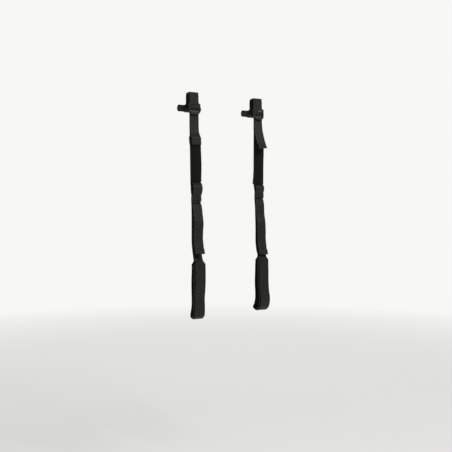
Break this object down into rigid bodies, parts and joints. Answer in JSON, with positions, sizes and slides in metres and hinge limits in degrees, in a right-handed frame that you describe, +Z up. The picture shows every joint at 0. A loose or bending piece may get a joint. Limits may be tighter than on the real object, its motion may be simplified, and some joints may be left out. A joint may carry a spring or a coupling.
{
  "type": "over-door exercise strap pair",
  "caption": "Pair of adjustable over-door straps with padded hand loops and padded foot loops, held by tube anchors behind the door.",
  "frame": {"origin": "middle of the door's top front edge, between the two straps", "axes": "+Z up; +X to the right seen from the room; -Y towards the room, so the door would fill y 0 to 0.040 below z 0"},
  "size_m": [0.4956, 0.162, 1.1418],
  "materials": {
    "webbing": "satin woven",
    "hand_pad_cloth": "matte knitted",
    "foot_pad_cloth": "matte woven",
    "pad_foam": "matte foam",
    "anchor_foam": "matte foam",
    "black_plastic": "satin moulded",
    "tube_plastic": "satin extruded"
  },
  "bodies": {
    "door_webbing": {"door_webbing_left": "webbing", "door_webbing_right": "webbing"},
    "anchor_left": {"anchor_tube_left": "tube_plastic", "anchor_foam_left": "anchor_foam", "anchor_cap_a_left": "black_plastic", "anchor_cap_b_left": "black_plastic"},
    "front_drop_left": {"drop_webbing_left": "webbing"},
    "buckle_left": {"ladder_buckle_left": "black_plastic", "grip_wrap_left": "webbing"},
    "hand_strap_left": {"main_span_left": "webbing", "main_webbing_left": "webbing", "hand_loop_webbing_left": "webbing", "hand_pad_cover_left": "hand_pad_cloth", "hand_pad_foam_left": "pad_foam", "web_slide_left": "black_plastic", "slide_wrap_left": "webbing"},
    "upper_tail_left": {"upper_tail_left": "webbing", "upper_tail_hem_left": "webbing"},
    "lower_strap_left": {"lower_span_left": "webbing", "loop_neck_left": "webbing"},
    "lower_tail_left": {"lower_tail_left": "webbing", "lower_tail_hem_left": "webbing"},
    "foot_loop_left": {"foot_loop_webbing_left": "webbing", "foot_pad_cover_left": "foot_pad_cloth", "foot_pad_foam_left": "pad_foam"},
    "anchor_right": {"anchor_tube_right": "tube_plastic", "anchor_foam_right": "anchor_foam", "anchor_cap_a_right": "black_plastic", "anchor_cap_b_right": "black_plastic"},
    "front_drop_right": {"drop_webbing_right": "webbing"},
    "buckle_right": {"ladder_buckle_right": "black_plastic", "grip_wrap_right": "webbing"},
    "hand_strap_right": {"main_span_right": "webbing", "main_webbing_right": "webbing", "hand_loop_webbing_right": "webbing", "hand_pad_cover_right": "hand_pad_cloth", "hand_pad_foam_right": "pad_foam", "web_slide_right": "black_plastic", "slide_wrap_right": "webbing"},
    "upper_tail_right": {"upper_tail_right": "webbing", "upper_tail_hem_right": "webbing"},
    "lower_strap_right": {"lower_span_right": "webbing", "loop_neck_right": "webbing"},
    "lower_tail_right": {"lower_tail_right": "webbing", "lower_tail_hem_right": "webbing"},
    "foot_loop_right": {"foot_loop_webbing_right": "webbing", "foot_pad_cover_right": "foot_pad_cloth", "foot_pad_foam_right": "pad_foam"}
  },
  "joints": [
    {"name": "anchor_roll_left", "type": "hinge", "parent": "door_webbing", "child": "anchor_left", "pos_m": [-0.185, 0.0596, -0.073], "axis": [1, 0, 0], "continuous": true},
    {"name": "strap_swing_left", "type": "hinge", "parent": "door_webbing", "child": "front_drop_left", "pos_m": [-0.185, 0, 0], "axis": [-1, 0, 0], "range_deg": [0, 60]},
    {"name": "buckle_pivot_left", "type": "hinge", "parent": "front_drop_left", "child": "buckle_left", "pos_m": [-0.185, -0.0072, -0.061], "axis": [-1, 0, 0], "range_deg": [0, 25]},
    {"name": "height_slide_left", "type": "slide", "parent": "buckle_left", "child": "hand_strap_left", "axis": [0, 0, -1], "range_m": [0, 0.09], "deforming": ["main_span_left"]},
    {"name": "upper_tail_slide_left", "type": "slide", "parent": "buckle_left", "child": "upper_tail_left", "axis": [0, -0.1564, -0.9877], "range_m": [-0.09, 0], "deforming": ["upper_tail_left"]},
    {"name": "lower_slide_left", "type": "slide", "parent": "hand_strap_left", "child": "lower_strap_left", "axis": [0, 0, -1], "range_m": [-0.16, 0.1], "deforming": ["lower_span_left"]},
    {"name": "lower_tail_slide_left", "type": "slide", "parent": "hand_strap_left", "child": "lower_tail_left", "axis": [0, -0.2924, -0.9563], "range_m": [-0.1, 0.16], "deforming": ["lower_tail_left"]},
    {"name": "foot_loop_swing_left", "type": "hinge", "parent": "lower_strap_left", "child": "foot_loop_left", "pos_m": [-0.185, -0.054, -0.846], "axis": [-1, 0, 0], "range_deg": [0, 50]},
    {"name": "anchor_roll_right", "type": "hinge", "parent": "door_webbing", "child": "anchor_right", "pos_m": [0.185, 0.0596, -0.073], "axis": [1, 0, 0], "continuous": true},
    {"name": "strap_swing_right", "type": "hinge", "parent": "door_webbing", "child": "front_drop_right", "pos_m": [0.185, 0, 0], "axis": [-1, 0, 0], "range_deg": [0, 60]},
    {"name": "buckle_pivot_right", "type": "hinge", "parent": "front_drop_right", "child": "buckle_right", "pos_m": [0.185, -0.0072, -0.061], "axis": [-1, 0, 0], "range_deg": [0, 25]},
    {"name": "height_slide_right", "type": "slide", "parent": "buckle_right", "child": "hand_strap_right", "axis": [0, 0, -1], "range_m": [0, 0.09], "deforming": ["main_span_right"]},
    {"name": "upper_tail_slide_right", "type": "slide", "parent": "buckle_right", "child": "upper_tail_right", "axis": [0, -0.1564, -0.9877], "range_m": [-0.09, 0], "deforming": ["upper_tail_right"]},
    {"name": "lower_slide_right", "type": "slide", "parent": "hand_strap_right", "child": "lower_strap_right", "axis": [0, 0, -1], "range_m": [-0.1, 0.06], "deforming": ["lower_span_right"]},
    {"name": "lower_tail_slide_right", "type": "slide", "parent": "hand_strap_right", "child": "lower_tail_right", "axis": [0, -0.3746, -0.9272], "range_m": [-0.06, 0.1], "deforming": ["lower_tail_right"]},
    {"name": "foot_loop_swing_right", "type": "hinge", "parent": "lower_strap_right", "child": "foot_loop_right", "pos_m": [0.185, -0.046, -0.829], "axis": [-1, 0, 0], "range_deg": [0, 50]}
  ],
  "couplings": [
    {"joint": "upper_tail_slide_left", "follows": "height_slide_left", "ratio": -1},
    {"joint": "lower_tail_slide_left", "follows": "lower_slide_left", "ratio": -1},
    {"joint": "upper_tail_slide_right", "follows": "height_slide_right", "ratio": -1},
    {"joint": "lower_tail_slide_right", "follows": "lower_slide_right", "ratio": -1}
  ]
}
